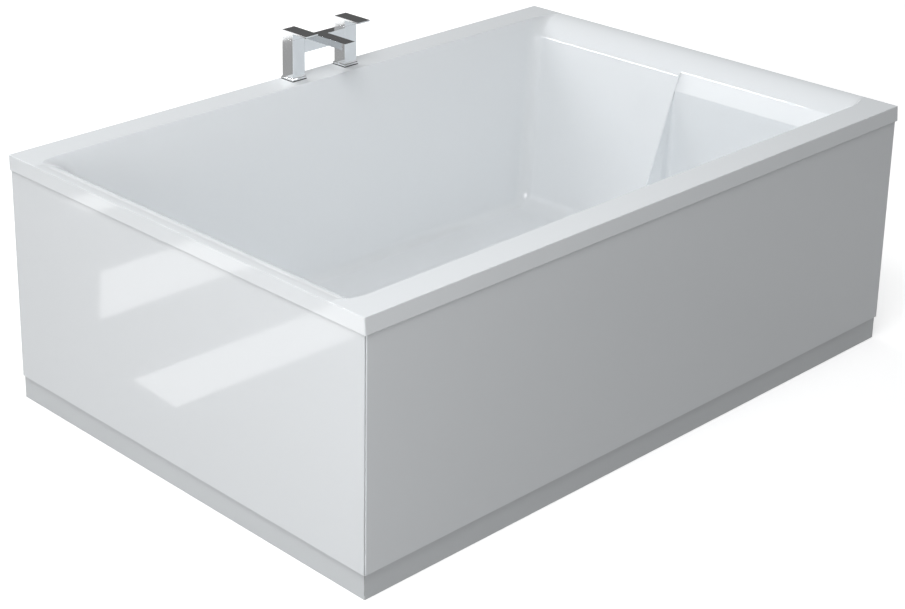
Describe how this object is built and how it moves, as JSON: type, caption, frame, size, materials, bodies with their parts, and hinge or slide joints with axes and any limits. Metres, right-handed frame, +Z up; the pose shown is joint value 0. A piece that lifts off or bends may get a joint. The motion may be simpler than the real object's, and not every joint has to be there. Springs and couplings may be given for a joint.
{
  "type": "double-ended bathtub",
  "caption": "Double-ended bath with stepped back rests, flat panels, adjustable feet, pop-up waste with overflow and a deck-mounted two-lever bath filler.",
  "frame": {"origin": "centre of the bath's plan on the floor", "axes": "+X along the bath's length, +Y across it towards the wall side with the taps, +Z up"},
  "size_m": [1.8, 1.2, 0.7563],
  "materials": {
    "acrylic": "gloss white moulding",
    "panel": "gloss white lacquer",
    "board": "pressed board sealed with resin",
    "timber": "planed softwood",
    "zinc_steel": "bright zinc plated",
    "chrome": "polished",
    "brass": "turned",
    "rubber": "matt black",
    "white_plastic": "moulded satin",
    "hose": "ribbed, satin",
    "black_plastic": "moulded satin",
    "ceramic": null
  },
  "bodies": {
    "bath": {"aerator": "white_plastic", "angle_screws": "zinc_steel", "base_board": "board", "bath_shell": "acrylic", "cartridges": "brass", "channel_screws": "zinc_steel", "corner_posts": "timber", "end_battens": "timber", "fixed_discs": "ceramic", "fixing_angles": "zinc_steel", "foot_nuts": "zinc_steel", "foot_pads": "black_plastic", "foot_rods": "zinc_steel", "front_batten": "timber", "front_panel": "panel", "front_plinth": "panel", "left_panel": "panel", "left_plinth": "panel", "leg_channels": "zinc_steel", "overflow_body": "white_plastic", "overflow_hose": "hose", "overflow_ring": "chrome", "overflow_screws": "zinc_steel", "overflow_seal": "rubber", "pipe_coupler": "white_plastic", "plug_cable": "black_plastic", "right_panel": "panel", "right_plinth": "panel", "rocker_pivot": "brass", "tail_nuts": "brass", "tail_washers": "rubber", "tap_bridge": "chrome", "tap_gaskets": "rubber", "tap_pillars": "chrome", "tap_plates": "chrome", "tap_tails": "brass", "trap_body": "white_plastic", "trap_nut": "white_plastic", "trap_seal": "rubber", "wall_hangers": "zinc_steel", "waste_cup": "white_plastic", "waste_flange": "chrome", "waste_pipe": "white_plastic", "waste_seal": "rubber"},
    "lever_hot": {"lever_hot": "chrome", "spindle_hot": "brass", "turning_disc_hot": "ceramic", "grub_screw_hot": "zinc_steel"},
    "lever_cold": {"lever_cold": "chrome", "spindle_cold": "brass", "turning_disc_cold": "ceramic", "grub_screw_cold": "zinc_steel"},
    "plug": {"plug": "chrome", "plug_seal": "rubber"},
    "overflow_cap": {"overflow_cap": "chrome"},
    "rocker": {"rocker": "brass"}
  },
  "joints": [
    {"name": "hot_lever_turn", "type": "hinge", "parent": "bath", "child": "lever_hot", "pos_m": [-0.047, 0.571, 0.735], "axis": [0, 0, 1], "range_deg": [-90, 0]},
    {"name": "cold_lever_turn", "type": "hinge", "parent": "bath", "child": "lever_cold", "pos_m": [0.133, 0.571, 0.735], "axis": [0, 0, 1], "range_deg": [0, 90]},
    {"name": "overflow_cap_turn", "type": "hinge", "parent": "bath", "child": "overflow_cap", "pos_m": [0, -0.50112, 0.56], "axis": [0, 0.9603, 0.279], "range_deg": [0, 90]},
    {"name": "plug_lift", "type": "slide", "parent": "bath", "child": "plug", "axis": [0, 0, 1], "range_m": [0, 0.012]},
    {"name": "rocker_turn", "type": "hinge", "parent": "bath", "child": "rocker", "pos_m": [0.016, 0, 0.1064], "axis": [0, 1, 0], "range_deg": [0, 44.05]}
  ],
  "couplings": [
    {"joint": "plug_lift", "follows": "overflow_cap_turn", "m_per_rad": 0.0076394},
    {"joint": "rocker_turn", "follows": "overflow_cap_turn", "ratio": 0.4894}
  ]
}
